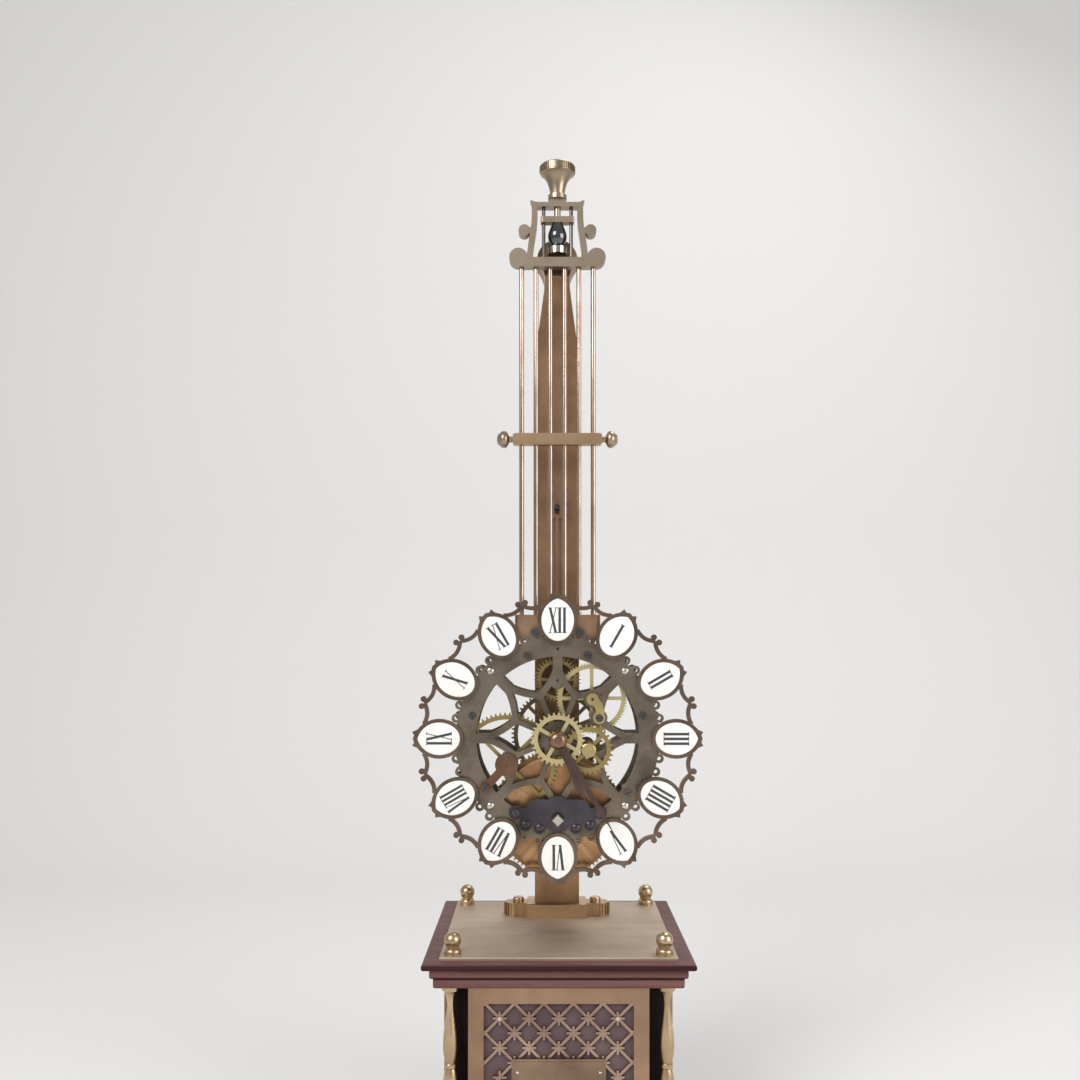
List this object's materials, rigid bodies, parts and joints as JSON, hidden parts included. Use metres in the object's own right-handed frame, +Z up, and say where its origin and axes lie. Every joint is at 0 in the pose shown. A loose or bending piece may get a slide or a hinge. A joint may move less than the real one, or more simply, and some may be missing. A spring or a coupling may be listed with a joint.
{
  "type": "mystery clock",
  "caption": "Skeleton pendulum clock whose movement and enamel dial form the bob of a gridiron pendulum, standing on a point before a column on a latticed plinth.",
  "frame": {"origin": "middle of the plinth's underside, on the table", "axes": "+Z up, the dial faces -Y, +X to the right seen from the front"},
  "size_m": [0.1736, 0.15, 0.5973],
  "materials": {
    "plinth_wood": "dark red-brown polished wood",
    "brown_bronze": "satin brown bronze",
    "gilt_brass": "polished gilt brass",
    "backing_black": "matt black",
    "steel": "drawn and polished steel",
    "polished_steel": "mirror polished steel",
    "frame_bronze": "grey-brown patinated bronze",
    "enamel": "glossy white enamel on copper",
    "wheel_brass": "grained clock brass",
    "blued_steel": "dark blued steel"
  },
  "bodies": {
    "stand": {"bun_feet": "gilt_brass", "base_moulding": "plinth_wood", "case_body": "plinth_wood", "cornice": "plinth_wood", "top_plate": "gilt_brass", "corner_finials": "gilt_brass", "corner_columns": "gilt_brass", "lattice_backings": "backing_black", "panel_frames": "gilt_brass", "lattices": "gilt_brass", "name_plate": "gilt_brass", "panel_screws": "steel", "column_foot": "brown_bronze", "foot_bolts": "steel", "column": "brown_bronze", "impulse_pin": "steel", "pivot_post": "polished_steel"},
    "suspension": {"riding_block": "gilt_brass", "pivot_cap": "polished_steel"},
    "pendulum": {"yoke": "brown_bronze", "guide_posts": "steel", "gridiron_rods": "steel", "crossbar": "brown_bronze", "crossbar_knobs": "gilt_brass", "movement_block": "brown_bronze", "front_plate": "frame_bronze", "back_plate": "frame_bronze", "plate_pillars": "gilt_brass", "plate_screws": "steel", "chapter_ring": "frame_bronze", "enamel_plaques": "enamel", "winding_bridge": "blued_steel", "intermediate_cock": "frame_bronze", "third_cock": "wheel_brass", "minute_stud": "wheel_brass", "click_spring": "steel"},
    "rating": {"rating_screw": "gilt_brass"},
    "barrel": {"great_wheel": "wheel_brass", "barrel_drum": "wheel_brass", "barrel_cover": "wheel_brass", "mainspring": "blued_steel"},
    "winding": {"winding_arbor": "steel", "ratchet_wheel": "steel"},
    "click_pawl": {"click": "steel"},
    "intermediate": {"intermediate_wheel": "wheel_brass", "intermediate_arbor": "steel"},
    "centre": {"centre_wheel": "wheel_brass", "centre_arbor": "steel", "cannon_pinion": "wheel_brass", "minute_hand": "blued_steel", "hand_nut": "brown_bronze"},
    "third": {"third_wheel": "wheel_brass", "third_arbor": "steel"},
    "escape": {"escape_wheel": "wheel_brass", "escape_arbor": "steel"},
    "anchor": {"pallets": "steel", "crutch": "wheel_brass"},
    "minute_work": {"minute_wheel": "wheel_brass"},
    "hour_work": {"hour_wheel": "wheel_brass", "hour_hand": "blued_steel"}
  },
  "joints": [
    {"name": "pendulum_swing", "type": "hinge", "parent": "stand", "child": "suspension", "pos_m": [0, 0.002, 0.5538], "axis": [0, 1, 0], "range_deg": [-3, 3]},
    {"name": "rating_slide", "type": "slide", "parent": "suspension", "child": "pendulum", "axis": [0, 0, 1], "range_m": [-0.0015, 0.0015]},
    {"name": "rating_turn", "type": "hinge", "parent": "pendulum", "child": "rating", "pos_m": [0, 0.002, 0.5708], "axis": [0, 0, 1], "range_deg": [-542, 542]},
    {"name": "centre_turn", "type": "hinge", "parent": "pendulum", "child": "centre", "pos_m": [0, 0, 0.2483], "axis": [0, 1, 0], "continuous": true},
    {"name": "intermediate_turn", "type": "hinge", "parent": "pendulum", "child": "intermediate", "pos_m": [-0.0304, 0, 0.2328], "axis": [0, 1, 0], "continuous": true},
    {"name": "barrel_turn", "type": "hinge", "parent": "pendulum", "child": "barrel", "pos_m": [0, 0, 0.2007], "axis": [0, 1, 0], "continuous": true},
    {"name": "third_turn", "type": "hinge", "parent": "pendulum", "child": "third", "pos_m": [0.0208, 0, 0.2718], "axis": [0, 1, 0], "continuous": true},
    {"name": "escape_turn", "type": "hinge", "parent": "pendulum", "child": "escape", "pos_m": [0, 0, 0.2829], "axis": [0, 1, 0], "continuous": true},
    {"name": "minute_work_turn", "type": "hinge", "parent": "pendulum", "child": "minute_work", "pos_m": [0.0182, 0, 0.2419], "axis": [0, 1, 0], "continuous": true},
    {"name": "hour_work_turn", "type": "hinge", "parent": "pendulum", "child": "hour_work", "pos_m": [0, 0, 0.2483], "axis": [0, 1, 0], "continuous": true},
    {"name": "anchor_rock", "type": "hinge", "parent": "pendulum", "child": "anchor", "pos_m": [0, 0, 0.3019], "axis": [0, 1, 0], "range_deg": [-6, 6]},
    {"name": "winding_turn", "type": "hinge", "parent": "pendulum", "child": "winding", "pos_m": [0, 0, 0.2007], "axis": [0, 1, 0], "continuous": true},
    {"name": "click_lift", "type": "hinge", "parent": "pendulum", "child": "click_pawl", "pos_m": [0.015, 0, 0.1963], "axis": [0, 1, 0], "range_deg": [0, 12], "stiffness_Nm_per_rad": 0.02}
  ],
  "couplings": [
    {"joint": "rating_turn", "follows": "rating_slide", "rad_per_m": 6283.2},
    {"joint": "centre_turn", "follows": "escape_turn", "ratio": 0.013889},
    {"joint": "third_turn", "follows": "escape_turn", "ratio": -0.11111},
    {"joint": "intermediate_turn", "follows": "escape_turn", "ratio": -0.0018939},
    {"joint": "barrel_turn", "follows": "escape_turn", "ratio": 0.00025826},
    {"joint": "minute_work_turn", "follows": "escape_turn", "ratio": -0.0046296},
    {"joint": "hour_work_turn", "follows": "escape_turn", "ratio": 0.0011574},
    {"joint": "anchor_rock", "follows": "pendulum_swing", "ratio": 1.84}
  ]
}
